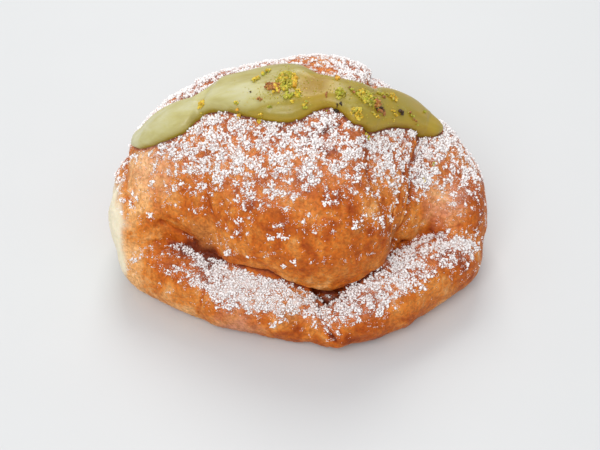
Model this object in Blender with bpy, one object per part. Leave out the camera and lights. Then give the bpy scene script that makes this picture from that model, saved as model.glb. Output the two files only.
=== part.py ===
"""Curled cornetto with a stripe of pistachio cream.

A rolled pastry lies on its flat base. Its fat middle bulges forward over two horns, which bend round
to the front and meet there. X runs from side to side, -Y is the front with the horns, +Z is up.
"""

import math
import random

import bmesh
import bpy
from mathutils import Vector, noise
from mathutils.bvhtree import BVHTree

MM = 0.001

# The rolled middle, a fat spindle along X, by its sections from left to right, in mm: where along X,
# its front, its back and its top.
MIDDLE_SECTIONS = (
    (-60.0, -12.0, 22.0, 36.5),
    (-51.5, -15.5, 28.8, 44.2),
    (-44.0, -17.0, 34.5, 50.7),
    (-34.0, -21.0, 39.5, 56.0),
    (-22.0, -27.5, 42.5, 59.4),
    (-6.0, -33.0, 44.6, 62.6),
    (8.0, -35.5, 46.6, 64.1),
    (17.0, -33.5, 45.0, 63.4),
    (26.5, -28.0, 42.0, 60.0),
    (33.0, -22.0, 37.5, 55.5),
    (41.0, -17.0, 33.0, 51.0),
    (49.5, -14.5, 29.5, 45.4),
    (58.0, -11.0, 22.5, 38.5),
)
LEFT_END = -63.5
RIGHT_END = 63.0
END_ROUNDING = 11.0
BASE_SINK = 2.2
BODY_RINGS = 120
BODY_SIDES = 128

# The edges of the dough's wraps. Each runs round the roll by turns from 0, the front, over 0.5, the
# top, to 1, the back: turn, place along X, and how far the dough on its left stands below that on its
# right. All in mm.
WRAP_EDGES = (
    (
        (0.0, -24.5, 1.5),
        (0.05, -25.4, 1.5),
        (0.22, -28.0, 1.3),
        (0.5, -31.5, 1.2),
        (0.75, -35.0, 1.0),
        (1.0, -36.0, 1.0),
    ),
    (
        (0.0, 28.5, -3.2),
        (0.07, 27.0, -3.2),
        (0.17, 23.6, -3.2),
        (0.26, 20.0, -3.2),
        (0.5, 20.8, -3.2),
        (0.75, 23.4, -3.2),
        (1.0, 25.0, -3.2),
    ),
    (
        (0.0, -31.0, 1.6),
        (0.03, -35.0, 1.6),
        (0.075, -43.0, 1.6),
        (0.125, -51.6, 1.6),
        (0.25, -56.0, 1.4),
        (1.0, -58.0, 0.8),
    ),
    (
        (0.0, 28.0, -2.0),
        (0.05, 31.0, -2.0),
        (0.12, 33.4, -2.0),
        (0.3, 34.4, -1.8),
        (0.38, 36.7, -1.4),
        (0.75, 42.0, -0.8),
        (1.0, 43.0, -0.8),
    ),
)
EDGE_WIDTH = 2.4
EDGE_WANDER = 1.2

# How deep the crease beside each wrap's edge is, and how wide.
PINCH_DEPTHS = (0.8, 1.0, 1.3, 1.9)
PINCH_WIDTH = 2.0

# Horn stations from the root inside the middle to the tip, in mm: x, y, centre height, half width and
# half height.
LEFT_HORN = (
    (-47.0, -3.0, 14.0, 12.0, 14.0),
    (-51.5, -12.5, 11.2, 10.0, 12.0),
    (-45.5, -19.0, 10.4, 9.4, 11.6),
    (-34.0, -25.9, 10.0, 9.2, 11.0),
    (-22.5, -30.3, 9.5, 8.9, 10.0),
    (-12.0, -33.6, 9.5, 8.4, 10.0),
    (-2.0, -37.2, 8.8, 8.0, 9.3),
    (6.0, -41.2, 7.8, 7.4, 8.4),
    (14.8, -49.0, 6.6, 5.2, 7.2),
)
RIGHT_HORN = (
    (46.0, -1.0, 15.0, 12.5, 15.0),
    (51.8, -8.2, 11.8, 9.6, 12.0),
    (48.6, -17.0, 11.2, 10.2, 12.2),
    (40.5, -23.3, 11.2, 11.6, 12.8),
    (32.0, -29.3, 11.0, 12.0, 12.8),
    (26.0, -34.0, 10.6, 11.6, 12.4),
    (19.0, -38.8, 10.0, 11.0, 12.0),
    (12.0, -41.4, 9.4, 10.0, 11.2),
    (2.0, -41.4, 8.8, 8.0, 9.6),
)
HORN_SIDES = 44
HORN_STEP = 1.0 * MM

# Steps across the horns where a wrap ends: the share of the horn's length, how much the side nearer
# the tip is thicker, in mm.
LEFT_HORN_STEPS = ((0.44, 1.1), (0.82, -0.7))
RIGHT_HORN_STEPS = ((0.26, -1.0), (0.62, -0.7))
HORN_STEP_WIDTH = 0.018

# Dough that fills the corners where the horns leave the middle, and the hollow between the horns:
# centre, then half sizes, in mm.
FILLINGS = (
    ((-50.0, -4.0, 18.5), (13.8, 16.0, 19.0)),
    ((50.0, -2.0, 18.5), (13.0, 16.0, 19.0)),
    ((6.5, -31.0, 4.5), (13.0, 10.5, 7.5)),
)

# The dough's uneven swell.
LUMP_SIZE = 24.0 * MM
LUMP_HEIGHT = 1.1 * MM

# The cream stripe from left to right: where along X, its front edge, its back edge and its thickness,
# in mm. It is sunk into the crust, then cut back to stand clear of it.
CREAM_STATIONS = (
    (-54.8, 5.4, 7.6, 1.8),
    (-53.4, 3.4, 8.8, 2.6),
    (-50.5, 1.0, 9.2, 3.3),
    (-46.0, -1.0, 10.2, 3.9),
    (-40.0, -2.0, 10.5, 4.2),
    (-35.5, -1.6, 10.6, 4.0),
    (-32.5, 0.8, 10.4, 3.9),
    (-29.0, 1.6, 11.6, 4.0),
    (-25.5, 0.9, 15.4, 4.4),
    (-21.0, -1.0, 16.8, 4.7),
    (-16.0, -3.8, 17.6, 4.9),
    (-10.0, -6.3, 18.6, 5.0),
    (-4.0, -7.7, 18.0, 5.0),
    (1.0, -6.8, 15.4, 4.8),
    (5.0, -4.8, 10.8, 4.4),
    (9.0, -3.9, 8.8, 4.3),
    (12.8, -5.6, 7.8, 4.3),
    (16.0, -8.6, 7.6, 4.4),
    (20.0, -7.4, 8.8, 4.6),
    (24.5, -5.0, 11.8, 4.7),
    (29.0, -1.4, 14.2, 4.5),
    (34.0, 1.4, 15.4, 4.2),
    (39.0, 3.2, 15.0, 3.8),
    (43.0, 4.2, 12.6, 3.3),
    (45.2, 6.6, 10.0, 2.4),
)
CREAM_RINGS = 62
CREAM_TOP_POINTS = 13
CREAM_UNDER_POINTS = 6
CREAM_SUNK = 0.8
CREAM_CLEARANCE = 0.33
CREAM_RIPPLE = 0.45
CREAM_RIPPLE_SIZE = 11.0

# Chopped pistachio on the cream: where each bit lies along X, Y and Z, and its size, in mm.
NUT_BITS = (
    (-31.1, 3.8, 63.4, 2.4),
    (-30.8, 2.0, 62.4, 1.9),
    (-19.9, 0.1, 66.8, 1.7),
    (-19.2, -2.1, 65.0, 1.8),
    (-12.6, -5.5, 65.4, 1.7),
    (-14.4, 7.1, 69.1, 2.3),
    (-12.6, 8.9, 69.3, 1.9),
    (-10.4, 9.4, 69.7, 2.0),
    (-9.6, 3.5, 70.0, 2.2),
    (-7.4, 1.8, 70.2, 2.6),
    (-5.6, 3.8, 70.6, 3.0),
    (-3.4, 5.0, 70.8, 3.0),
    (-2.2, 3.0, 70.8, 2.8),
    (-3.7, 0.3, 70.6, 2.6),
    (-1.5, 6.8, 71.0, 2.2),
    (-4.1, 8.7, 70.7, 2.2),
    (-0.9, -0.8, 70.7, 1.9),
    (1.2, -4.4, 69.7, 1.8),
    (12.0, -0.4, 71.1, 3.0),
    (11.1, -4.2, 69.5, 2.1),
    (8.0, -2.3, 70.7, 1.9),
    (17.4, -6.6, 68.7, 3.0),
    (20.4, -0.8, 68.7, 2.4),
    (22.0, -0.7, 67.4, 2.2),
    (23.0, -1.7, 65.9, 2.4),
    (24.6, -1.0, 64.5, 2.2),
    (28.5, 6.9, 63.7, 2.7),
    (25.8, 5.5, 64.9, 2.0),
    (31.2, 2.7, 61.5, 1.8),
    (20.7, -7.9, 63.0, 1.8),
)
NUT_POINTS = 14
NUT_SUNK = 0.30
NUT_SEED = 7

# How finely the joined dough is meshed, and how far its creases are rounded.
DOUGH_VOXEL = 1.1 * MM
CREASE_ROUNDING = 7
PASTRY_TRIANGLES = 8500

# The block that the pastry's underside is cut flat against, and a height above everything.
TRAY_SIDE = 200.0 * MM
TRAY_DEPTH = 30.0 * MM
ABOVE = 200.0


def smooth_step(low, high, value):
    share = min(1.0, max(0.0, (value - low) / (high - low)))
    return share * share * (3.0 - 2.0 * share)


def material(name, colour, roughness):
    made = bpy.data.materials.new(name)
    made.use_nodes = True
    shader = made.node_tree.nodes["Principled BSDF"]
    shader.inputs["Base Color"].default_value = (*colour, 1.0)
    shader.inputs["Roughness"].default_value = roughness
    shader.inputs["Metallic"].default_value = 0.0
    return made


def clear_scene():
    for item in list(bpy.data.objects):
        bpy.data.objects.remove(item)


def mesh_object(name, mesh):
    made = bpy.data.objects.new(name, mesh)
    bpy.context.scene.collection.objects.link(made)
    return made


def loft(shape, rings, start, end):
    """Adds a closed tube through the rings to a bmesh, ending in a point at each end."""
    loops = [[shape.verts.new(point) for point in ring] for ring in rings]
    sides = len(loops[0])
    for near, far in zip(loops, loops[1:]):
        for j in range(sides):
            k = (j + 1) % sides
            shape.faces.new((near[j], near[k], far[k], far[j]))
    for loop, tip in ((loops[0], start), (loops[-1], end)):
        pole = shape.verts.new(tip)
        for j in range(sides):
            k = (j + 1) % sides
            corners = (loop[j], loop[k], pole) if loop is loops[-1] else (loop[k], loop[j], pole)
            shape.faces.new(corners)


def lumps(point):
    return LUMP_HEIGHT * noise.noise(point / LUMP_SIZE)


def middle_section(x):
    """Front, back and top of the rolled middle at x, all in mm, rounded off towards its ends."""
    places = [section[0] for section in MIDDLE_SECTIONS]
    inside = min(max(x, places[0]), places[-1])
    k = max(i for i, place in enumerate(places[:-1]) if place <= inside)
    share = (k + (inside - places[k]) / (places[k + 1] - places[k])) / (len(places) - 1)
    _, front, back, top = through(MIDDLE_SECTIONS, share)
    end = LEFT_END if x < 0 else RIGHT_END
    past = max(0.0, 1.0 - abs(end - x) / END_ROUNDING)
    return front, back, top, math.sqrt(max(0.0, 1.0 - past * past))


def edge_place(places, turn):
    """Where along X an edge runs at this turn, and its rise, in mm."""
    for (before, near, low), (after, far, high) in zip(places, places[1:]):
        if turn <= after:
            share = (turn - before) / (after - before)
            return near + (far - near) * share, low + (high - low) * share
    return places[-1][1:]


def wrap_rise(x, turn):
    """How far the wraps push the skin out at x, in mm. turn is 0 at the front and 1 at the back."""
    proud = 0.0
    for i, places in enumerate(WRAP_EDGES):
        wander = EDGE_WANDER * noise.noise(Vector((turn * 7.0, i * 5.0, 0.0)))
        edge, rise = edge_place(places, turn)
        edge += wander
        inside = smooth_step(edge - EDGE_WIDTH / 2, edge + EDGE_WIDTH / 2, x)
        proud += rise * inside
        lower_side = -1.0 if rise > 0 else 1.0
        offset = (x - edge - lower_side * EDGE_WIDTH / 2) / PINCH_WIDTH
        proud -= PINCH_DEPTHS[i] * math.exp(-offset * offset)
    return proud


def add_middle(shape):
    rings = []
    for i in range(1, BODY_RINGS):
        along = (1.0 - math.cos(math.pi * i / BODY_RINGS)) / 2
        x = LEFT_END + (RIGHT_END - LEFT_END) * along
        front, back, top, fat = middle_section(x)
        half_depth = (back - front) / 2 * fat
        half_height = (top + BASE_SINK) / 2 * fat
        ring = []
        for j in range(BODY_SIDES):
            angle = 2 * math.pi * j / BODY_SIDES
            turn = math.acos(math.cos(angle)) / math.pi
            outward = Vector((0.0, -math.cos(angle), math.sin(angle)))
            base = Vector((
                x,
                (front + back) / 2 - half_depth * math.cos(angle),
                (top - BASE_SINK) / 2 + half_height * math.sin(angle),
            )) * MM
            ring.append(base + outward * (wrap_rise(x, turn) * fat * MM + lumps(base)))
        rings.append(ring)
    poles = []
    for x in (LEFT_END, RIGHT_END):
        front, back, top, _ = middle_section(x)
        poles.append(Vector((x, (front + back) / 2, (top - BASE_SINK) / 2)) * MM)
    loft(shape, rings, *poles)


def through(stations, share):
    """A smooth curve through the stations, at share 0 to 1 of the way along them."""
    last = len(stations) - 1
    place = min(share * last, last - 1e-9)
    k = int(place)
    t = place - k
    before, here, there, after = (
        stations[min(max(k + step, 0), last)] for step in (-1, 0, 1, 2)
    )
    return [
        0.5 * (2 * b + (c - a) * t + (2 * a - 5 * b + 4 * c - d) * t * t + (3 * b - a - 3 * c + d) * t ** 3)
        for a, b, c, d in zip(before, here, there, after)
    ]


def add_horn(shape, stations, steps):
    length = sum(
        math.dist(near[:2], far[:2]) for near, far in zip(stations, stations[1:])
    ) * MM
    count = int(length / HORN_STEP)
    rings = []
    for i in range(count):
        share = (i + 0.5) / count
        x, y, z, wide, high = (value * MM for value in through(stations, share))
        ahead = through(stations, min(1.0, share + 0.01))
        behind = through(stations, max(0.0, share - 0.01))
        heading = Vector((ahead[0] - behind[0], ahead[1] - behind[1], 0.0)).normalized()
        aside = Vector((-heading.y, heading.x, 0.0))
        round_off = math.sqrt(1.0 - max(0.0, share * 1.12 - 0.12) ** 6)
        for place, thicker in steps:
            added = thicker * MM * smooth_step(place - HORN_STEP_WIDTH, place + HORN_STEP_WIDTH, share)
            wide += added
            high += added
        ring = []
        for j in range(HORN_SIDES):
            angle = 2 * math.pi * j / HORN_SIDES
            spot = Vector((x, y, z)) + aside * (wide * round_off * math.cos(angle))
            spot.z += high * round_off * math.sin(angle)
            ring.append(spot + aside * (lumps(spot) * 0.7 * math.cos(angle)))
        rings.append(ring)
    tip = Vector(stations[-1][:3]) * MM
    root = Vector(stations[0][:3]) * MM
    loft(shape, rings, root, tip)


def add_filling(shape, middle, half_sizes):
    made = bmesh.ops.create_icosphere(shape, subdivisions=4, radius=1.0)
    for vert in made["verts"]:
        vert.co = Vector(c + h * v for c, h, v in zip(middle, half_sizes, vert.co)) * MM


def keep_largest(mesh):
    """Drops any loose scrap or inner bubble, so that one closed skin is left."""
    shape = bmesh.new()
    shape.from_mesh(mesh)
    todo = set(shape.verts)
    islands = []
    while todo:
        island = {todo.pop()}
        edge = list(island)
        while edge:
            vert = edge.pop()
            for link in vert.link_edges:
                other = link.other_vert(vert)
                if other in todo:
                    todo.discard(other)
                    island.add(other)
                    edge.append(other)
        islands.append(island)
    largest = max(islands, key=len)
    spare = [vert for island in islands if island is not largest for vert in island]
    bmesh.ops.delete(shape, geom=spare, context="VERTS")
    shape.to_mesh(mesh)
    shape.free()


def finished(item):
    """Replaces an object's mesh by what its modifiers make of it."""
    graph = bpy.context.evaluated_depsgraph_get()
    made = bpy.data.meshes.new_from_object(item.evaluated_get(graph))
    item.modifiers.clear()
    item.data = made
    return item


def tray():
    bpy.ops.mesh.primitive_cube_add(size=1.0, location=(0.0, 0.0, -TRAY_DEPTH / 2))
    made = bpy.context.object
    made.name = "tray"
    made.scale = (TRAY_SIDE, TRAY_SIDE, TRAY_DEPTH)
    made.hide_render = True
    made.display_type = "WIRE"
    return made


def skin_point(skin, x, y):
    """The crust's point under (x, y) and its outward direction there, both in mm."""
    hit, _, _, _ = skin.ray_cast(Vector((x, y, ABOVE)) * MM, Vector((0.0, 0.0, -1.0)))
    facing = Vector((0.0, 0.0, 0.0))
    for dx, dy in ((0.0, 0.0), (1.5, 0.0), (-1.5, 0.0), (0.0, 1.5), (0.0, -1.5)):
        near, normal, _, _ = skin.ray_cast(Vector((x + dx, y + dy, ABOVE)) * MM, Vector((0.0, 0.0, -1.0)))
        if near is not None:
            facing += normal
    return hit / MM, facing.normalized()


def cream_ring(skin, share):
    x, front, back, thick = through(CREAM_STATIONS, share)
    middle = (front + back) / 2
    half = (back - front) / 2
    ring = []
    for i in range(CREAM_TOP_POINTS):
        angle = math.pi * i / (CREAM_TOP_POINTS - 1)
        across = -math.copysign(abs(math.cos(angle)) ** 0.62, math.cos(angle))
        high = math.sin(angle) ** 0.75
        spot, facing = skin_point(skin, x, middle + half * across)
        ripple = CREAM_RIPPLE * noise.noise(spot / CREAM_RIPPLE_SIZE)
        ring.append((spot + facing * (thick * high + ripple * high)) * MM)
    for i in range(CREAM_UNDER_POINTS):
        across = 1.0 - 2.0 * i / (CREAM_UNDER_POINTS - 1)
        spot, facing = skin_point(skin, x, middle + half * across)
        ring.append((spot - facing * CREAM_SUNK) * MM)
    return ring


def nut_bit(tree, place, size, dice):
    """One angular bit of nut, partly sunk into the cream."""
    spot, facing, _, _ = tree.find_nearest(Vector(place) * MM)
    shape = bmesh.new()
    stretch = [dice.uniform(0.75, 1.25) for _ in range(3)]
    for _ in range(NUT_POINTS):
        way = Vector([dice.gauss(0.0, 1.0) for _ in range(3)]).normalized()
        way = Vector([part * wide for part, wide in zip(way, stretch)])
        shape.verts.new(spot + (way * size / 2 + facing * size * (0.5 - NUT_SUNK)) * MM)
    made = bmesh.ops.convex_hull(shape, input=shape.verts)
    spare = [item for item in made["geom_interior"] if isinstance(item, bmesh.types.BMVert)]
    bmesh.ops.delete(shape, geom=spare, context="VERTS")
    bmesh.ops.recalc_face_normals(shape, faces=shape.faces)
    mesh = bpy.data.meshes.new("nut")
    shape.to_mesh(mesh)
    shape.free()
    return mesh_object("nut", mesh)


def build_cream(cream, skin, pastry):
    shape = bmesh.new()
    rings = [cream_ring(skin, i / (CREAM_RINGS - 1)) for i in range(CREAM_RINGS)]
    poles = []
    for ring, outward in ((rings[0], -0.7), (rings[-1], 0.7)):
        middle = sum(ring, Vector()) / len(ring)
        poles.append(middle + Vector((outward * MM, 0.0, 0.0)))
    loft(shape, rings, *poles)
    bmesh.ops.recalc_face_normals(shape, faces=shape.faces)
    mesh = bpy.data.meshes.new("pistachio_cream")
    shape.to_mesh(mesh)
    shape.free()
    stripe = mesh_object("pistachio_cream", mesh)

    crust_space = mesh_object("crust_space", pastry.data.copy())
    for vert in crust_space.data.vertices:
        vert.co += vert.normal * CREAM_CLEARANCE * MM
    cut = stripe.modifiers.new("clear_of_crust", "BOOLEAN")
    cut.operation = "DIFFERENCE"
    cut.solver = "EXACT"
    cut.object = crust_space
    finished(stripe)
    keep_largest(stripe.data)
    bpy.data.objects.remove(crust_space)

    if NUT_BITS:
        dice = random.Random(NUT_SEED)
        tree = BVHTree.FromObject(stripe, bpy.context.evaluated_depsgraph_get())
        nuts = bpy.data.collections.new("nuts")
        bpy.context.scene.collection.children.link(nuts)
        for *place, size in NUT_BITS:
            bit = nut_bit(tree, place, size, dice)
            bpy.context.scene.collection.objects.unlink(bit)
            nuts.objects.link(bit)
        join = stripe.modifiers.new("nuts_joined", "BOOLEAN")
        join.operation = "UNION"
        join.solver = "EXACT"
        join.operand_type = "COLLECTION"
        join.collection = nuts
        finished(stripe)
        keep_largest(stripe.data)
        for bit in list(nuts.objects):
            bpy.data.objects.remove(bit)
        bpy.data.collections.remove(nuts)
    stripe.data.materials.clear()
    stripe.data.materials.append(cream)
    stripe.data.shade_smooth()
    return stripe


def centre(items):
    """Moves the nodes so that the middle of their common base is the origin."""
    points = [vert.co for item in items for vert in item.data.vertices]
    low = Vector([min(point[i] for point in points) for i in range(3)])
    high = Vector([max(point[i] for point in points) for i in range(3)])
    shift = Vector(((low.x + high.x) / 2, (low.y + high.y) / 2, low.z))
    for item in items:
        for vert in item.data.vertices:
            vert.co -= shift


def build_pastry(crust):
    shape = bmesh.new()
    add_middle(shape)
    add_horn(shape, LEFT_HORN, LEFT_HORN_STEPS)
    add_horn(shape, RIGHT_HORN, RIGHT_HORN_STEPS)
    for middle, half_sizes in FILLINGS:
        add_filling(shape, middle, half_sizes)
    bmesh.ops.recalc_face_normals(shape, faces=shape.faces)
    mesh = bpy.data.meshes.new("pastry")
    shape.to_mesh(mesh)
    shape.free()
    pastry = mesh_object("pastry", mesh)

    remesh = pastry.modifiers.new("dough_joined", "REMESH")
    remesh.mode = "VOXEL"
    remesh.voxel_size = DOUGH_VOXEL
    rounding = pastry.modifiers.new("creases_rounded", "SMOOTH")
    rounding.factor = 0.5
    rounding.iterations = CREASE_ROUNDING
    finished(pastry)
    keep_largest(pastry.data)
    skin = BVHTree.FromObject(pastry, bpy.context.evaluated_depsgraph_get())

    thinned = pastry.modifiers.new("facets", "DECIMATE")
    thinned.ratio = PASTRY_TRIANGLES / (2 * len(pastry.data.polygons))
    flat = pastry.modifiers.new("flat_base", "BOOLEAN")
    flat.operation = "DIFFERENCE"
    flat.solver = "EXACT"
    flat.object = tray()
    finished(pastry)
    keep_largest(pastry.data)
    pastry.data.materials.clear()
    pastry.data.materials.append(crust)
    pastry.data.shade_smooth()
    return pastry, skin


def main():
    clear_scene()
    crust = material("baked_crust", (0.60, 0.27, 0.07), 0.5)
    cream = material("pistachio_cream", (0.42, 0.38, 0.11), 0.3)
    pastry, skin = build_pastry(crust)
    stripe = build_cream(cream, skin, pastry)
    centre([pastry, stripe])


main()
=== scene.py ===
"""A pistachio cornetto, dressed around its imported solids.

Over the frame go a baked crust in place of the plain pastry, the torn edges of its layers, a glossy
pistachio cream in place of the plain stripe, and what is strewn on them, sugar and chopped nuts. Sizes
here are in millimetres and become metres where a mesh is written. X runs from side to side, -Y is the
front with the horns, and +Z is up.
"""

import math

import bmesh
import bpy
import numpy as np
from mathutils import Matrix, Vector, noise
from mathutils.bvhtree import BVHTree


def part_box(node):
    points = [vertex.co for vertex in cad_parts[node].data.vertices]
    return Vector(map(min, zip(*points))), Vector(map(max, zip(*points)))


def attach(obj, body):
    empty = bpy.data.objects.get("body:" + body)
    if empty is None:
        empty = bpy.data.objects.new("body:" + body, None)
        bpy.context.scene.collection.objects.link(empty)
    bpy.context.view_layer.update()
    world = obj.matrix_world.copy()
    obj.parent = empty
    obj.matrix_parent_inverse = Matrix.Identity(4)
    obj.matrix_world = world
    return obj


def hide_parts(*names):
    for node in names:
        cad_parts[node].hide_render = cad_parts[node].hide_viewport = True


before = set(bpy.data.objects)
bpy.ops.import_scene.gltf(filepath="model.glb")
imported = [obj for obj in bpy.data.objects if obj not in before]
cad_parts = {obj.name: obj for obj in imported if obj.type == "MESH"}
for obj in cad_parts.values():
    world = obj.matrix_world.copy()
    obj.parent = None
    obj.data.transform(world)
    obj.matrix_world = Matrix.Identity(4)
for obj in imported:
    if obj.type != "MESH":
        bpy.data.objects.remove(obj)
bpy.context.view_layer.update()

MM = 0.001
bpy.ops.object.select_all(action="DESELECT")

# Rays that find a surface from above start at this height.
ABOVE = 200.0

# A Mix node that mixes colours: its setting, and which of its outputs has the colour.
COLOURS = {"data_type": "RGBA", "output": 2}

# The camera looks down on the front from arm's length: at what, how steeply in degrees, from how far,
# and how wide a strip it takes in there.
VIEW_TARGET = (0.37, 0.40, 11.8)
VIEW_ELEVATION = 44.7
VIEW_DISTANCE = 420.0
VIEW_ACROSS = 205.3
SENSOR = 36.0

# A window behind the pastry and the room's pale walls in front: name, place, size, watts and tint.
LIGHTS = (
    ("window", (-40.0, 1080.0, 1250.0), 700.0, 11.3, "#fffdf8"),
    ("bounce", (-400.0, -1250.0, 1500.0), 1200.0, 23.2, "#fffefc"),
)
LIGHT_AIM = (0.0, 0.0, 20.0)

# Where the roll's own zero lies in the frame.
ROLL_X = 0.37
ROLL_Y = 0.40

# The rolled middle, as in the part's source: where along X, its front, its back and its top.
ROLL_SECTIONS = (
    (-60.0, -12.0, 22.0, 36.5),
    (-51.5, -15.5, 28.8, 44.2),
    (-44.0, -17.0, 34.5, 50.7),
    (-34.0, -21.0, 39.5, 56.0),
    (-22.0, -27.5, 42.5, 59.4),
    (-6.0, -33.0, 44.6, 62.6),
    (8.0, -35.5, 46.6, 64.1),
    (17.0, -33.5, 45.0, 63.4),
    (26.5, -28.0, 42.0, 60.0),
    (33.0, -22.0, 37.5, 55.5),
    (41.0, -17.0, 33.0, 51.0),
    (49.5, -14.5, 29.5, 45.4),
    (58.0, -11.0, 22.5, 38.5),
)
BASE_SINK = 2.2

# The edges of the dough's wraps, as in the part's source: turn round the roll, 0 at the front and 1 at
# the back, and where along X. Before them stand 1 where the lower side is on the left or -1 where it is
# on the right, and how clearly the edge shows.
WRAP_EDGES = (
    (1, 0.4, ((0.0, -24.5), (0.05, -25.4), (0.22, -28.0), (0.5, -31.5), (0.75, -35.0), (1.0, -36.0))),
    (-1, 0.35, (
        (0.0, 28.5), (0.07, 27.0), (0.17, 23.6), (0.26, 20.0), (0.5, 20.8), (0.75, 23.4), (1.0, 25.0),
    )),
    (1, 0.4, ((0.0, -31.0), (0.03, -35.0), (0.075, -43.0), (0.125, -51.6), (0.25, -56.0), (1.0, -58.0))),
    (-1, 0.8, (
        (0.0, 28.0), (0.05, 31.0), (0.12, 33.4), (0.3, 34.4), (0.38, 36.7), (0.75, 42.0), (1.0, 43.0),
    )),
)
EDGE_WANDER = 1.2

# The horns' middle lines from root to tip, as in the part's source, and how near them a point is
# wholly on a horn and wholly off it.
LEFT_HORN = (
    (-51.5, -12.5, 11.2),
    (-45.5, -19.0, 10.4),
    (-34.0, -25.9, 10.0),
    (-22.5, -30.3, 9.5),
    (-12.0, -33.6, 9.5),
    (-2.0, -37.2, 8.8),
    (6.0, -41.2, 7.8),
    (14.8, -49.0, 6.6),
)
RIGHT_HORN = (
    (51.8, -8.2, 11.8),
    (48.6, -17.0, 11.2),
    (40.5, -23.3, 11.2),
    (32.0, -29.3, 11.0),
    (26.0, -34.0, 10.6),
    (19.0, -38.8, 10.0),
    (12.0, -41.4, 9.4),
    (2.0, -41.4, 8.8),
)
ON_HORN = 11.5
OFF_HORN = 14.5

# The crust's mesh: how fine it is, and how far the solid's facets are smoothed away.
CRUST_VOXEL = 0.65
CRUST_SMOOTHING = 14
UNDERSIDE_SHARE = 0.06

# The crust's relief in waves: how high they stand and how large they are, wrinkles also along X, Y and
# Z. Blisters and flakes start and end where their waves pass the levels given.
WRINKLE_HEIGHT = 0.12
WRINKLE_SIZE = (1.9, 11.0, 11.0)
BLISTER_HEIGHT = 0.2
BLISTER_SIZE = 5.0
BLISTER_LEVELS = (0.1, 0.75)
FLAKE_HEIGHT = 0.2
FLAKE_SIZE = (7.0, 12.0, 12.0)
FLAKE_FRAY = 0.35
FLAKE_FRAY_SIZE = (2.4, 4.0, 4.0)
FLAKE_LEVELS = ((0.14, 0.22), (-0.26, -0.18))
PORE_HEIGHT = 0.10
PORE_SIZE = 1.2

# Beside each wrap's edge, the torn lip and the groove: height, how far the middle is on the low side,
# and half width. Then how clear the edge is at the back, and where the roll's skin ends.
LIP = (0.35, -0.7, 0.8)
GROOVE = (0.75, 0.55, 0.6)
BACK_CLARITY = 0.9
SKIN_END = (1.08, 1.2)

# Valleys are where a smoother copy of the crust would fill in: its smoothing steps, the fill in mm where
# a valley starts and where it is full, and how much deeper it is made.
VALLEY_SMOOTHING = 40
VALLEY_FILL = (0.11, 0.33)
VALLEY_DEPTH = 0.9

# A place is shut in where another wall of dough stands nearer than this, straight out or forward of it.
SHUT_REACH = 14.0
SHUT_LEANS = ((0.0, 0.0, 0.0), (0.0, -0.7, 0.35))

# Edges of thin layers beside each wrap's edge: how far behind it and how clearly they show. Then the
# step round the roll between their rings, the fewest rings in one stretch, the jump in mm that ends it,
# the rings over which its ends fade, the reach from the roll's middle past which a horn covers it, and
# its section, from the crust out to the torn lip.
LAYER_OFFSETS = ((0.3, 1.0), (3.0, 0.75), (5.6, 0.55))
LAYER_STEP = 0.0045
LAYER_RINGS = 8
LAYER_JUMP = 2.5
LAYER_FADE = 5
ROLL_LIMIT = 1.12
LAYER_SECTION = (
    (-1.2, -0.35), (-0.8, 0.0), (-0.3, 0.3), (0.08, 0.42), (0.3, 0.3), (0.12, 0.1), (-0.2, -0.35),
)

# The pale side of dough that leaned on its neighbour in the oven: its middle and half sizes.
UNBAKED_SIDE = ((-66.0, -8.0, 16.0), (14.5, 17.5, 23.0))

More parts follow.
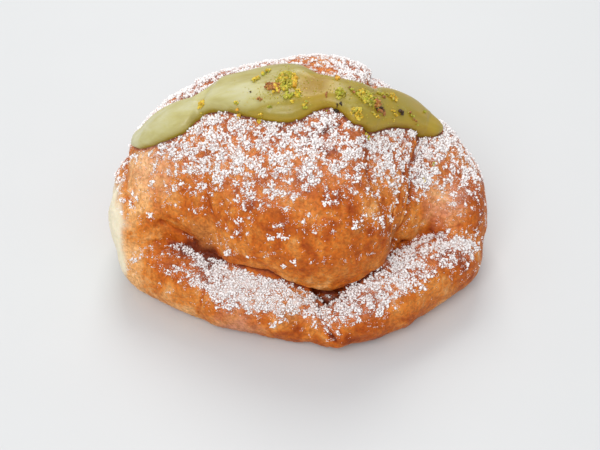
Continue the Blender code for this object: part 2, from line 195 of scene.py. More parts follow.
# Creases drawn along the crust, and ridges where the depth is below 0: depth, half width and points.
STROKES = (
    (0.9, 0.7, ((41.5, 1.4, 47.3), (39.4, -1.6, 46.5), (36.6, -5.6, 45.6))),
    (0.8, 0.6, ((33.4, -8.9, 48.3), (32.6, -13.7, 45.4), (31.3, -19.1, 41.8), (29.3, -22.9, 39.0))),
    (0.25, 0.8, ((-51.0, -7.0, 40.1), (-47.5, -10.4, 39.7), (-43.4, -12.7, 40.2))),
    (0.9, 0.9, ((-44.7, -15.9, 29.5), (-38.5, -18.4, 27.5), (-33.5, -21.4, 25.2))),
    (0.7, 0.7, ((-46.0, -14.0, 35.0), (-40.0, -17.2, 32.5), (-34.5, -20.0, 30.5))),
    (0.3, 0.8, ((-56.0, -17.3, 23.4), (-51.6, -18.9, 24.1), (-46.7, -19.0, 23.2), (-40.0, -20.5, 22.6))),
    (0.9, 0.6, (
        (27.4, -29.0, 25.0), (32.8, -20.0, 22.2), (39.5, -16.9, 22.4), (46.0, -16.0, 24.0),
        (52.3, -15.2, 27.2),
    )),
    (0.8, 0.7, ((-29.2, -33.0, 19.0), (-30.5, -35.1, 16.5), (-31.5, -36.3, 13.1), (-32.9, -35.6, 7.5))),
    (0.9, 0.6, ((29.9, -29.3, 22.5), (33.1, -27.7, 22.7), (37.2, -25.5, 22.9))),
    (1.1, 0.8, ((5.9, -38.2, 14.8), (7.1, -43.4, 13.5), (9.3, -46.3, 11.1), (11.3, -48.2, 7.5))),
    (1.5, 0.8, ((-30.0, -23.6, 23.0), (-24.6, -27.2, 22.8), (-16.1, -31.8, 24.6), (-9.4, -34.2, 24.6))),
    (1.7, 0.9, ((-9.4, -34.2, 24.6), (-2.5, -34.8, 20.8), (3.6, -34.7, 17.9), (7.8, -32.9, 15.0))),
    (1.6, 0.8, (
        (7.8, -32.9, 15.0), (11.6, -33.7, 16.3), (16.2, -34.8, 19.8), (21.0, -33.6, 21.8),
        (26.0, -31.0, 23.0),
    )),
    (-0.5, 0.7, ((-26.6, -21.4, 43.2), (-24.8, -24.8, 39.5), (-23.2, -27.1, 36.5), (-21.7, -28.8, 33.8))),
    (-0.5, 0.7, ((-21.7, -24.6, 45.0), (-20.9, -27.1, 40.9), (-20.4, -29.0, 36.2), (-19.6, -30.3, 30.9))),
    (0.9, 0.55, ((12.6, -8.6, 64.7), (10.5, -10.0, 64.3), (7.7, -11.3, 63.8))),
    (0.7, 0.5, ((12.0, -11.9, 63.5), (9.8, -10.7, 64.1), (8.3, -8.9, 64.6))),
    (0.7, 0.55, ((-1.8, -9.4, 63.4), (-0.2, -11.7, 62.9), (1.6, -13.5, 62.5))),
    (0.7, 0.5, ((-6.7, -6.6, 63.4), (-5.2, -9.3, 62.9), (-3.3, -12.2, 62.2))),
    (0.6, 0.5, ((6.2, -14.5, 62.5), (7.1, -17.0, 61.4), (9.2, -18.7, 60.5))),
    (-0.4, 0.6, ((-20.0, -26.2, 43.8), (-17.8, -28.5, 41.2), (-15.7, -30.5, 38.4), (-13.3, -32.7, 33.6))),
    (-0.4, 0.6, ((6.4, -28.4, 52.7), (8.2, -25.9, 55.2), (11.6, -24.4, 56.3), (14.6, -24.9, 55.1))),
    (-0.3, 0.6, ((-4.2, -32.3, 44.6), (0.4, -31.9, 47.2), (5.2, -31.7, 48.6), (10.0, -30.2, 50.6))),
    (-0.4, 0.6, ((16.1, -24.1, 55.2), (15.2, -27.8, 52.0), (14.0, -31.5, 48.0), (11.9, -33.9, 45.3))),
)

# Smooth tan patches, where a layer tore and the dough below shows: middle and radius.
TAN_PATCHES = (
    ((-30.0, -23.0, 31.0), 6.5),
    ((29.0, -25.1, 31.5), 5.0),
    ((18.0, -33.0, 43.3), 3.0),
    ((-3.0, -42.5, 15.0), 4.5),
)

# What makes the crust darker, or paler where it is below 0. The first is its plain tone. Broad and small
# waves, the top and the flakes are its own baking, and the underside is paler; the darkening in creases,
# shut-in places and valleys is painted shade.
BROWNING_AND_SHADE = {
    "plain": 0.16,
    "broad": 0.26,
    "small": 0.12,
    "creased": 0.45,
    "shut": 0.35,
    "valley": 0.6,
    "top": 0.07,
    "under": -0.06,
    "flaked": 0.08,
    "unbaked": -0.3,
}

# Where the crust is darker, or lighter where the change is below 0: middle, radius and change. Most are its
# own baking. The strongest dark ones, in the crease and hollow at the left where shoulder, belly and horn
# meet, are painted shade. The lighter ones at the left, near the pale side, are partly paler baking and
# partly painted light.
BAKE_LIGHT_AND_SHADE_SPOTS = (
    ((53.4, -24.2, 16.5), 4.0, 0.3),
    ((-29.0, -23.6, 23.4), 5.0, 0.6),
    ((-35.5, -22.0, 22.8), 4.0, 0.4),
    ((38.5, -9.0, 41.5), 1.8, 0.4),
    ((31.0, -30.5, 25.0), 3.5, 0.3),
    ((24.0, -44.0, 9.0), 9.0, 0.2),
    ((-6.0, -31.0, 44.0), 9.0, 0.1),
    ((44.0, -20.0, 27.0), 9.0, 0.1),
    ((6.0, -31.0, 46.0), 10.0, 0.08),
    ((-14.0, -30.0, 38.0), 8.0, 0.12),
    ((-53.0, -27.0, 8.0), 13.0, -0.3),
    ((-47.0, -6.0, 42.0), 11.0, -0.32),
    ((-38.0, -38.0, 6.0), 8.0, -0.3),
    ((-47.0, -17.0, 30.0), 9.0, -0.16),
    ((42.0, -17.0, 28.0), 8.0, -0.14),
)

# Where fine dust dulls the crust: middle and radius.
DUSTY_SPOTS = (
    ((-47.0, -5.0, 42.5), 12.0),
    ((47.0, -11.0, 33.0), 9.0),
    ((-20.0, -43.0, 6.0), 9.5),
)

# What makes the sugar lie deeper or thinner. It shows where the sum and the powder's clots come to more
# than 0, and only packed sugar is deeper than the cap.
SUGAR_DEPTH = {
    "plain": -0.66,
    "faces_up": 0.85,
    "drifts": 0.25,
    "creased": -0.25,
    "shut": -0.4,
    "valley": -0.5,
    "unbaked": -0.5,
}
SUGAR_CAP = 0.36
NO_SUGAR = -2.0

# Lumps that the powder clots into: weight and size.
SUGAR_CLOTS = ((0.6, 3.6), (0.95, 2.0), (0.75, 1.05))

# Where the sugar lies thicker or thinner than its fall from above gives: middle, radius, change.
SUGAR_HEAPS = (
    ((-18.5, -34.5, 19.5), 8.5, 0.9),
    ((-6.0, -39.5, 17.5), 7.0, 0.6),
    ((-31.5, -27.5, 20.3), 4.0, 0.3),
    ((-38.5, -29.5, 17.5), 6.5, -0.5),
    ((36.0, -38.0, 14.5), 8.0, -0.5),
    ((-22.0, 20.0, 57.0), 15.0, -0.27),
    ((6.0, 22.0, 61.0), 16.0, -0.25),
    ((-28.0, -23.4, 23.4), 3.5, -0.6),
    ((6.0, -30.0, 47.0), 9.0, -0.2),
    ((34.0, 20.0, 51.0), 12.0, -0.25),
    ((14.0, -40.0, 18.0), 6.0, 0.4),
    ((26.0, -36.0, 20.5), 6.5, 0.25),
    ((39.0, -26.0, 22.5), 6.5, 0.05),
    ((54.5, -18.0, 22.5), 5.5, 0.35),
    ((46.0, -31.0, 14.0), 7.5, -0.5),
    ((52.0, -8.0, 33.0), 10.0, -0.3),
    ((47.0, -14.0, 30.0), 9.0, -0.2),
    ((5.9, -40.0, 16.0), 4.0, 0.2),
    ((0.5, -10.0, 63.0), 12.0, 0.06),
    ((-20.0, -12.0, 58.5), 9.0, 0.04),
    ((26.0, -8.0, 56.0), 8.0, 0.3),
    ((41.0, -8.0, 42.0), 9.0, 0.15),
    ((-31.0, -6.0, 54.0), 8.0, 0.05),
    ((-48.0, -22.0, 19.5), 9.0, -0.45),
    ((-50.0, -9.0, 40.0), 12.0, -0.4),
    ((-57.0, -3.0, 38.0), 7.0, -0.6),
    ((-46.0, -18.0, 30.0), 9.0, -0.3),
    ((12.5, -30.0, 51.0), 8.0, -0.45),
    ((-4.0, -35.5, 40.0), 12.0, -0.3),
    ((25.3, -24.0, 44.0), 7.0, -0.1),
    ((-34.0, -18.5, 38.0), 9.0, -0.1),
)

# Where it lies packed, with hardly a gap: middle, radius and change.
PACKED_SUGAR = (
    ((-19.0, -33.6, 20.0), 7.0, 0.55),
    ((-9.5, -37.5, 18.0), 6.0, 0.3),
    ((20.0, -37.5, 19.5), 7.0, 0.12),
    ((33.0, -31.0, 21.5), 7.0, 0.15),
    ((54.5, -17.0, 23.5), 5.0, 0.25),
    ((38.0, -9.0, 44.0), 9.0, 0.26),
)

# Single clumps that lie on the bare front: how many bits a clump of the usual radius has, then x, y, z
# and radius of each.
LONE_BITS = 12
LONE_RADIUS = 0.8
LONE_CLUMPS = (
    (-1.0, -35.9, 33.0, 1.1),
    (-4.5, -36.3, 30.5, 0.8),
    (-18.0, -27.8, 42.0, 1.1),
    (-9.2, -33.8, 40.0, 1.0),
    (-6.0, -34.0, 41.5, 0.9),
    (-4.0, -34.2, 41.0, 0.9),
    (17.0, -33.0, 44.5, 1.3),
    (24.0, -28.0, 42.0, 1.0),
    (-48.0, -16.0, 32.5, 1.0),
    (-29.0, -17.0, 46.0, 1.2),
    (8.0, -30.0, 51.0, 1.1),
    (-37.0, -14.0, 44.0, 1.1),
)

# The cream stripe from left to right, as in the part's source: where along X, its front edge, its back
# edge and its thickness.
CREAM_STATIONS = (
    (-53.7, 5.0, 9.2, 2.2),
    (-52.4, 2.8, 9.8, 3.0),
    (-50.5, 1.0, 9.2, 3.3),
    (-46.0, -1.0, 10.2, 3.9),
    (-40.0, -2.0, 10.5, 4.2),
    (-35.5, -1.6, 10.6, 4.0),
    (-32.5, 0.8, 10.4, 3.9),
    (-29.0, 1.6, 11.6, 4.0),
    (-25.5, 0.9, 15.4, 4.4),
    (-21.0, -1.0, 16.8, 4.7),
    (-16.0, -3.8, 17.6, 4.9),
    (-10.0, -6.3, 18.6, 5.0),
    (-4.0, -7.7, 18.0, 5.0),
    (1.0, -6.8, 15.4, 4.8),
    (5.0, -4.8, 10.8, 4.4),
    (9.0, -3.9, 8.8, 4.3),
    (12.8, -5.6, 7.8, 4.3),
    (16.0, -8.6, 7.6, 4.4),
    (20.0, -7.4, 8.8, 4.6),
    (24.5, -5.0, 11.8, 4.7),
    (29.0, -1.4, 14.2, 4.5),
    (34.0, 1.4, 15.4, 4.2),
    (39.0, 3.2, 15.0, 3.8),
    (43.0, 4.2, 12.6, 3.3),
    (45.2, 6.6, 10.0, 2.4),
)

# The stripe's mesh: its rings, and the points of each ring over the top and under it. Then how deep its
# underside is sunk in the crust, its ripples and ridges, and how far its end points stand out.
CREAM_RINGS = 300
CREAM_TOP_POINTS = 41
CREAM_UNDER_POINTS = 9
CREAM_SUNK = 0.9
CREAM_RIPPLE = 0.45
CREAM_RIPPLE_SIZE = 11.0
CREAM_RIDGE = 0.28
CREAM_TIP = 0.7

# Folds pressed into the cream where the spatula lifted: points (x, y), depth and half width.
CREAM_FOLDS = (
    (((-31.5, 0.5), (-29.0, 6.0), (-25.5, 13.5)), 0.9, 1.3),
    (((-0.5, 5.5), (2.0, 3.8), (5.5, 2.0)), 0.5, 2.0),
    (((0.5, 9.5), (2.6, 9.0)), -0.5, 2.6),
    (((-24.0, 9.5), (-17.0, 10.5), (-11.0, 10.0)), 0.5, 1.2),
    (((-50.0, 7.0), (-42.0, 7.5), (-34.0, 8.0)), 0.35, 1.2),
    (((-8.0, -4.6), (-2.0, -5.2), (3.0, -3.4)), 0.3, 0.7),
    (((-6.0, -6.6), (-1.0, -6.9), (3.6, -5.0)), 0.25, 0.6),
    (((18.0, -3.0), (26.0, -1.0), (36.0, 5.0), (41.0, 8.0)), 0.35, 1.4),
)

# Chopped pistachio in little piles of crumbs: middle along X and Y, half length, half width, turn in
# degrees, how many crumbs, how large the larger ones are, and the kinds that are mixed.
NUT_PILES = (
    (-13.4, 7.6, 1.8, 0.8, 41, 20, 1.0, "gold pale"),
    (-10.2, 10.9, 1.8, 0.8, 35, 20, 1.0, "green green gold"),
    (-9.2, 3.0, 1.3, 1.5, 0, 34, 1.0, "skin skin walnut"),
    (-7.0, 1.8, 1.3, 2.2, 0, 40, 1.0, "walnut walnut skin gold"),
    (-12.1, -1.6, 0.9, 0.5, 0, 9, 0.8, "walnut skin"),
    (-3.9, 5.0, 3.1, 4.4, 0, 340, 0.9, "pale green pale pale green pale gold pale"),
    (-1.3, 4.8, 0.8, 3.2, 0, 36, 1.2, "amber gold"),
    (-3.3, -1.7, 1.7, 0.9, 0, 22, 1.0, "green green pale"),
    (-0.4, -0.8, 1.0, 1.5, 0, 20, 1.0, "gold gold green"),
    (-2.1, -4.0, 0.5, 0.5, 0, 7, 0.8, "gold"),
    (1.9, -4.6, 0.8, 1.4, 0, 16, 0.9, "gold green"),
    (-12.1, -5.6, 1.0, 0.7, 20, 12, 0.9, "gold pale"),
    (-9.1, -4.6, 0.7, 0.6, 0, 7, 0.7, "green"),
    (12.8, -1.3, 1.7, 2.0, 0, 56, 0.9, "green pale pale green"),
    (11.9, -4.6, 1.2, 0.7, 20, 13, 1.0, "burnt"),
    (12.0, 6.4, 0.6, 1.2, 0, 10, 1.0, "amber"),
    (8.5, -1.6, 0.4, 0.8, 0, 6, 0.7, "skin"),
    (8.2, -4.4, 0.6, 0.4, 0, 4, 0.6, "skin green"),
    (17.0, 0.3, 1.9, 0.5, -50, 12, 0.9, "skin green"),
    (20.9, -0.3, 2.9, 2.4, 0, 190, 0.9, "green pale pale gold green pale"),
    (24.2, -0.2, 1.2, 3.0, 0, 40, 1.0, "skin skin green walnut"),
    (25.1, -1.5, 1.6, 1.2, 0, 20, 1.1, "burnt skin"),
    (26.6, 4.4, 0.5, 0.5, 0, 5, 0.8, "skin"),
    (25.9, 5.2, 1.3, 0.5, 0, 10, 0.8, "green pale"),
    (29.3, 6.3, 1.6, 1.1, -10, 26, 1.1, "amber gold pale"),
    (17.7, -7.0, 1.7, 1.5, 30, 44, 1.1, "gold pale gold"),
    (32.2, 2.0, 0.7, 0.8, 0, 8, 1.0, "burnt"),
    (29.8, 0.4, 1.0, 0.7, 0, 12, 0.9, "gold"),
    (36.4, 3.4, 1.7, 0.5, -30, 9, 0.8, "green skin"),
    (40.4, 9.4, 0.4, 0.4, 0, 4, 0.8, "green"),
    (21.1, -8.5, 0.7, 1.0, 0, 10, 0.8, "green gold"),
    (23.3, -4.5, 1.4, 0.4, 0, 9, 0.7, "pale gold"),
    (-30.8, 3.3, 0.9, 1.7, 0, 20, 1.0, "gold gold pale"),
    (-19.4, -0.3, 0.6, 0.8, 0, 8, 0.8, "green gold"),
    (-18.7, -2.6, 0.6, 1.2, 0, 10, 0.9, "amber gold"),
    (-14.9, 1.8, 0.3, 0.3, 0, 3, 0.6, "burnt"),
    (40.0, -8.6, 0.5, 0.5, 0, 4, 0.8, "gold"),
    (43.5, -3.8, 0.5, 0.4, 0, 4, 0.7, "green"),
)

# Dust from the chopping: middle and spread along X and Y, and how many specks. Their kinds take turns.
NUT_DUST = (
    (-4.0, 2.0, 6.0, 4.5, 260),
    (22.0, -0.5, 6.5, 4.0, 210),
    (13.0, -1.0, 4.0, 3.0, 40),
    (-18.0, -1.0, 5.0, 3.0, 20),
)
DUST_KINDS = ("green", "pale", "gold", "pale", "green", "pale")

# Kinds of crumb: the darker and the lighter colour in each.
NUT_COLOURS = {
    "green": ("#8b8c18", "#c3c03e"),
    "pale": ("#988a20", "#c8b84a"),
    "gold": ("#c39a1c", "#ecd045"),
    "amber": ("#c98f1d", "#ecbc42"),
    "walnut": ("#a8702c", "#d3a052"),
    "skin": ("#84501f", "#b9773e"),
    "burnt": ("#2a1c0c", "#4c3216"),
}

# How much larger the crumbs are than their pile says, the corners of each, and the shapes of each kind.
NUT_SIZE = 1.35
NUT_POINTS = 12
NUT_SHAPES = 8
NUT_SEED = 7

# Kinds of sugar bit: name, how many, how many shapes, corners of each, smallest and largest size, how
# deep the sugar lies where they start, how far their middle is off the crust, and how far apart they
# keep.
SUGAR_KINDS = (
    ("sugar_clumps", 9000, 6, 10, (0.75, 1.2), 0.1, 0.36, 0.66),
    ("sugar_grains", 15500, 5, 8, (0.5, 0.78), 0.02, 0.26, 0.4),
    ("sugar_powder", 24000, 5, 6, (0.32, 0.5), -0.1, 0.16, 0.0),
    ("sugar_mist", 24000, 5, 6, (0.22, 0.38), -0.5, 0.1, 0.0),
)
SUGAR_SEED = 11

# How many spots are tried for each bit, and how many times the wanted bits are kept until those under
# the cream are left out.
SUGAR_TRIES = 9
SUGAR_SPARE = 1.25

# How thick the film of finest sugar is, and how much the veil of dust whitens the crust, then the dusty
# spots.
FILM_HEIGHT = 0.22
VEIL = 0.08
DUSTY_VEIL = 0.2


def linear(hex_code):
    """An sRGB hex colour as the linear colour that shaders take."""
    shares = [int(hex_code[i:i + 2], 16) / 255 for i in (1, 3, 5)]
    return (*(s / 12.92 if s <= 0.04045 else ((s + 0.055) / 1.055) ** 2.4 for s in shares), 1.0)


def smooth(low, high, values):
    shares = np.clip((values - low) / (high - low), 0.0, 1.0)
    return shares * shares * (3.0 - 2.0 * shares)


def hump(gap, width):
    """A soft hump, 1 where the gap is 0 and 0.37 at one width."""
    return np.exp(-(gap / width) ** 2)


def weighed(weights, **amounts):
    """The sum of the amounts, each times its weight."""
    return sum(weights[name] * amount for name, amount in amounts.items())


def waves(points, size, seed=0):
    """Smooth noise from about -1 to 1 at points in mm, with waves of this size, or sizes along X, Y and Z."""
    places = points / np.array(size) + 31.7 * seed
    return np.array([noise.noise(place) for place in places.tolist()])


def through(stations, share):
    """A smooth curve through the stations, at share 0 to 1 of the way along them."""
    last = len(stations) - 1
    place = min(share * last, last - 1e-9)
    k = int(place)
    t = place - k
    before, here, there, after = (stations[min(max(k + step, 0), last)] for step in (-1, 0, 1, 2))
    return [
        0.5 * (2 * b + (c - a) * t + (2 * a - 5 * b + 4 * c - d) * t * t + (3 * b - a - 3 * c + d) * t ** 3)
        for a, b, c, d in zip(before, here, there, after)
    ]


def nearest_on_line(points, line):
    """How far each point is from a line of points, and how far along the line that is, both in mm."""
    line = np.array(line, float)
    best = np.full(len(points), 1e9)
    along = np.zeros(len(points))
    run = 0.0
    for start, end in zip(line, line[1:]):
        step = end - start
        length = np.linalg.norm(step)
        share = np.clip((points - start) @ step / length ** 2, 0.0, 1.0)
        gap = np.linalg.norm(points - start - share[:, None] * step, axis=1)
        nearer = gap < best
        best = np.where(nearer, gap, best)
        along = np.where(nearer, run + share * length, along)
        run += length
    return best, along


def work_on(item):
    bpy.ops.object.select_all(action="DESELECT")
    item.select_set(True)
    bpy.context.view_layer.objects.active = item


def add_object(name, data):
    made = bpy.data.objects.new(name, data)
    bpy.context.scene.collection.objects.link(made)
    return made


def edit_all(item, step, **settings):
    """Runs one edit step on all of a piece's mesh."""
    work_on(item)
    bpy.ops.object.mode_set(mode="EDIT")
    bpy.ops.mesh.select_all(action="SELECT")
    step(**settings)
    bpy.ops.object.mode_set(mode="OBJECT")


def shape_with(item, kind, **settings):
    """Adds a modifier to a piece and applies it."""
    work_on(item)
    modifier = item.modifiers.new(kind.lower(), kind)
    for name, value in settings.items():
        setattr(modifier, name, value)
    bpy.ops.object.modifier_apply(modifier=modifier.name)


def read(items, name, width=3, kind=np.float32):
    """One row of numbers for each item of a mesh."""
    flat = np.empty(len(items) * width, kind)
    items.foreach_get(name, flat)
    return flat.reshape(-1, width)


def points_of(item):
    return read(item.data.vertices, "co").astype(float) / MM


def set_points(item, points):
    item.data.vertices.foreach_set("co", (points * MM).astype(np.float32).ravel())
    item.data.update()


def normals_of(item):
    return read(item.data.vertex_normals, "vector").astype(float)


def note_on(item, name, values):
    """Keeps one number for each point of a piece, for its material to read."""
    item.data.attributes.new(name, "FLOAT", "POINT").data.foreach_set("value", values.astype(np.float32))


def tree_of(item):
    return BVHTree.FromObject(item, bpy.context.evaluated_depsgraph_get())


def piece_of(name, points, faces, shading=True):
    """A new piece from points in mm and faces."""
    mesh = bpy.data.meshes.new(name)
    mesh.from_pydata((np.asarray(points) * MM).tolist(), [], faces)
    mesh.update()
    if shading:
        mesh.shade_smooth()
    return add_object(name, mesh)


def drop(tree, x, y):
    """Where a straight fall at x and y meets a piece: the point, its direction, its face and how far."""
    return tree.ray_cast(Vector((x, y, ABOVE)) * MM, Vector((0.0, 0.0, -1.0)))


def tube_sides(count, sides):
    """The faces between a count of rings."""
    return [
        (i * sides + j, i * sides + k, (i + 1) * sides + k, (i + 1) * sides + j)
        for i in range(count - 1) for j in range(sides) for k in [(j + 1) % sides]
    ]


# Materials

def fill(tree, made, inputs):
    """Sets a node's values and the links into it."""
    for name, value in inputs.items():
        if isinstance(value, bpy.types.NodeSocket):
            tree.links.new(value, made.inputs[name])
        else:
            made.inputs[name].default_value = value


def node(tree, kind, inputs=None, output=0, stops=(), **settings):
    """Adds a node with its settings, its inputs and, on a ramp, its colours. Gives back one output."""
    made = tree.nodes.new("ShaderNode" + kind)
    for name, value in settings.items():
        setattr(made, name, value)
    fill(tree, made, inputs or {})
    for i, (spot, tint) in enumerate(stops):
        elements = made.color_ramp.elements
        element = elements[i] if i < len(elements) else elements.new(spot)
        element.position = spot
        element.color = linear(tint)
    return made.outputs[output]


def new_material(name):
    """A material with its node tree, its shader and its Object coordinates."""
    made = bpy.data.materials.new(name)
    made.use_nodes = True
    tree = made.node_tree
    return made, tree, tree.nodes["Principled BSDF"], node(tree, "TexCoord", output="Object")


def baked_crust_material():
    """Laminated dough, egg-washed and baked: golden brown, mottled and streaked round the roll, darker in its
    creases by painted shade, with painted light and shade on its small blisters, a little glossy, and white
    where sugar lies."""
    made, tree, shader, place = new_material("egg_washed_crust")
    tone, unbaked, sugar, torn, dust = (
        node(tree, "Attribute", output="Fac", attribute_name=name)
        for name in ("browning_and_shade", "unbaked", "sugar", "torn", "dust")
    )

    # Streaks 2.3 mm wide and 12.5 mm long run round the roll. Blotches are 6.7 mm across, mottles 2.4 mm
    # and specks 1 mm, where the glaze blistered.
    stretched = node(tree, "Mapping", {"Vector": place, "Scale": (430.0, 80.0, 80.0)})
    patterns = []
    for vector, scale, detail, rough, weight in (
        (stretched, 1.0, 3.0, 0.55, 0.4),
        (place, 150.0, 3.0, 0.5, 1.0),
        (place, 420.0, 3.0, 0.6, 0.6),
        (place, 1050.0, 2.0, 0.6, 0.5),
    ):
        patterns.append(node(tree, "TexNoise", {
            "Vector": vector, "Scale": scale, "Detail": detail, "Roughness": rough, "Distortion": 0.6,
        }))
        tone = node(tree, "Math", {0: patterns[-1], 1: weight, 2: tone}, operation="MULTIPLY_ADD")
    _, blotches, mottles, specks = patterns
    tone = node(tree, "Math", {0: tone, 1: 0.99}, operation="SUBTRACT")
    colour = node(tree, "ValToRGB", {"Fac": tone}, stops=(
        (0.0, "#e6b074"), (0.25, "#d18337"), (0.5, "#bd6319"), (0.75, "#9d450d"), (1.0, "#692504"),
    ))

    # Tan where a layer tore, and the finest dust as a thin veil over what faces up.
    for share, tint in ((torn, "#b37238"), (dust, "#f3dccd")):
        colour = node(tree, "Mix", {"Factor": share, 6: colour, 7: linear(tint)}, **COLOURS)

    # Painted light and shade: specks 1 mm across multiply the colour darker or lighter, for the shaded and
    # lit sides of the glaze's blisters.
    side = node(tree, "MapRange", {"Value": specks, "From Min": 0.35, "From Max": 0.65})
    dark, light = (0.66, 0.55, 0.42, 1.0), (1.24, 1.22, 1.2, 1.0)
    shade = node(tree, "Mix", {"Factor": side, 6: dark, 7: light}, **COLOURS)
    colour = node(tree, "Mix", {"Factor": 1.0, 6: colour, 7: shade}, blend_type="MULTIPLY", **COLOURS)

    raw = node(tree, "Mix", {"Factor": mottles, 6: linear("#e3d5ae"), 7: linear("#f4ebd6")}, **COLOURS)
    colour = node(tree, "Mix", {"Factor": unbaked, 6: colour, 7: raw}, **COLOURS)

    # Sugar film: its edge is broken up by grains of about half a millimetre. Its tint, a little greyer and
    # pinker than the grains, is partly painted shade in the gaps between them.
    grain = node(tree, "TexNoise", {"Vector": place, "Scale": 1900.0, "Detail": 2.0, "Roughness": 0.6})
    level = node(tree, "Math", {0: grain, 1: 1.1, 2: sugar}, operation="MULTIPLY_ADD")
    film = node(tree, "MapRange", {
        "Value": level, "From Min": 0.6, "From Max": 1.1, "To Max": 0.85,
    }, interpolation_type="SMOOTHSTEP")
    colour = node(tree, "Mix", {"Factor": film, 6: colour, 7: linear("#f0e4de")}, **COLOURS)

    gloss = node(tree, "MapRange", {
        "Value": blotches, "From Min": 0.3, "From Max": 0.7, "To Min": 0.4, "To Max": 0.56,
    })
    gloss = node(tree, "Mix", {"Factor": film, 2: gloss, 3: 0.9}, data_type="FLOAT")
    height = node(tree, "Math", {0: mottles, 1: specks}, operation="ADD")
    height = node(tree, "Math", {0: film, 1: 0.8, 2: height}, operation="MULTIPLY_ADD")
    fill(tree, shader, {
        "Base Color": colour, "Roughness": gloss, "IOR": 1.45, "Specular IOR Level": 0.2,
        "Subsurface Weight": 0.06, "Subsurface Radius": (1.0, 0.5, 0.25), "Subsurface Scale": 1.2 * MM,
        "Normal": node(tree, "Bump", {"Height": height, "Strength": 0.9, "Distance": 0.3 * MM}),
    })
    return made


def sugar_material():
    """Icing sugar, a fine milled powder: white, dull, and softly mottled by clots of under 2 mm."""
    made, tree, shader, place = new_material("milled_sugar")
    clots = node(tree, "TexNoise", {"Vector": place, "Scale": 600.0, "Detail": 2.0})
    colour = node(tree, "Mix", {"Factor": clots, 6: linear("#f7f2f1"), 7: linear("#fdfaf9")}, **COLOURS)
    fill(tree, shader, {"Base Color": colour, "Roughness": 0.92, "Specular IOR Level": 0.3})
    return made


def cream_material():
    """Pistachio spread, ground nuts in oil: soft yellow-green, glossy, and a little see-through at its
    thin edges."""
    made, tree, shader, place = new_material("pistachio_spread")
    # The depth of colour read here also carries a painted highlight on the left part of the stripe and
    # painted shade at its narrow middle.
    ripe_light_and_shade = node(tree, "Attribute", output="Fac", attribute_name="ripe_light_and_shade")

    # Swirls 14 mm long and 3 mm wide run along the stripe.
    stretched = node(tree, "Mapping", {"Vector": place, "Scale": (70.0, 330.0, 330.0)})
    swirls = node(tree, "TexNoise", {"Vector": stretched, "Scale": 1.0, "Detail": 3.0, "Distortion": 0.4})
    tone = node(tree, "Math", {0: swirls, 1: 0.5, 2: ripe_light_and_shade}, operation="MULTIPLY_ADD")
    colour = node(tree, "ValToRGB", {"Fac": tone}, stops=(
        (0.0, "#d0cfb4"), (0.35, "#b9b278"), (0.62, "#99872a"), (0.82, "#a68a1e"), (1.0, "#98770c"),
    ))

    # Where the oil has sunk in, the spread is duller.
    dull = node(tree, "MapRange", {
        "Value": ripe_light_and_shade, "From Min": 0.5, "From Max": 0.85, "To Min": 0.38, "To Max": 0.68,
    })
    fill(tree, shader, {
        "Base Color": colour, "Roughness": dull, "IOR": 1.46, "Coat Weight": 0.15, "Coat Roughness": 0.18,
        "Subsurface Weight": 0.25, "Subsurface Radius": (1.0, 1.0, 0.45), "Subsurface Scale": 1.5 * MM,
        "Normal": node(tree, "Bump", {"Height": swirls, "Strength": 0.25, "Distance": 0.3 * MM}),
    })
    return made


def nut_material(name, dark, light):
    """Chopped pistachio: matt cut faces, each a little lighter or darker than the next."""
    made, tree, shader, place = new_material(name)
    flecks = node(tree, "TexNoise", {"Vector": place, "Scale": 700.0, "Detail": 2.0})
    share = node(tree, "MapRange", {"Value": flecks, "From Min": 0.35, "From Max": 0.65})
    colour = node(tree, "Mix", {"Factor": share, 6: linear(dark), 7: linear(light)}, **COLOURS)
    fill(tree, shader, {
        "Base Color": colour, "Roughness": 0.5, "Subsurface Weight": 0.1, "Subsurface Scale": 0.8 * MM,
    })
    return made


def table_material():
    """Matt white laminate: an even pale ground with soft shadows."""
    made, tree, shader, place = new_material("matt_laminate")
    grain = node(tree, "TexNoise", {"Vector": place, "Scale": 40.0, "Detail": 2.0})
    dull = node(tree, "MapRange", {"Value": grain, "To Min": 0.5, "To Max": 0.6})
    fill(tree, shader, {"Base Color": linear("#cccecf"), "Roughness": dull})
    return made


# Crust

def roll_section(x):
    """The roll's middle along Y and Z at x, then its half sizes along them."""
    places, *sides = np.array(ROLL_SECTIONS).T
    front, back, top = (np.interp(x - ROLL_X, places, side) for side in sides)
    return (front + back) / 2 + ROLL_Y, (top - BASE_SINK) / 2, (back - front) / 2, (top + BASE_SINK) / 2


def roll_place(points):
    """Turn round the roll, 0 at the front and 1 at the back, and reach, 1 on the roll's skin."""
    middle_y, middle_z, half_y, half_z = roll_section(points[:, 0])
    across = (points[:, 1] - middle_y) / half_y
    high = (points[:, 2] - middle_z) / half_z
    return np.abs(np.arctan2(high, -across)) / math.pi, np.hypot(across, high)


def on_horns(points):
    """How much a point belongs to a horn, from 0 to 1, and how far along that horn it is, in mm."""
    share = np.zeros(len(points))
    along = np.zeros(len(points))
    for stations in (LEFT_HORN, RIGHT_HORN):
        line = [(x + ROLL_X, y + ROLL_Y, z) for x, y, z in stations]
        gap, run = nearest_on_line(points, line)
        belongs = 1.0 - smooth(ON_HORN, OFF_HORN, gap)
        along = np.where(belongs > share, run, along)
        share = np.maximum(share, belongs)
    return share, along


def wrap_edge(i, turn):
    """Where along X the edge of a wrap is, at each turn round the roll."""
    turns, xs = np.array(WRAP_EDGES[i][2]).T
    spots = np.column_stack([turn * 7.0, np.full(len(turn), i * 5.0), np.zeros(len(turn))])
    return np.interp(turn, turns, xs) + ROLL_X + EDGE_WANDER * waves(spots, 1.0)


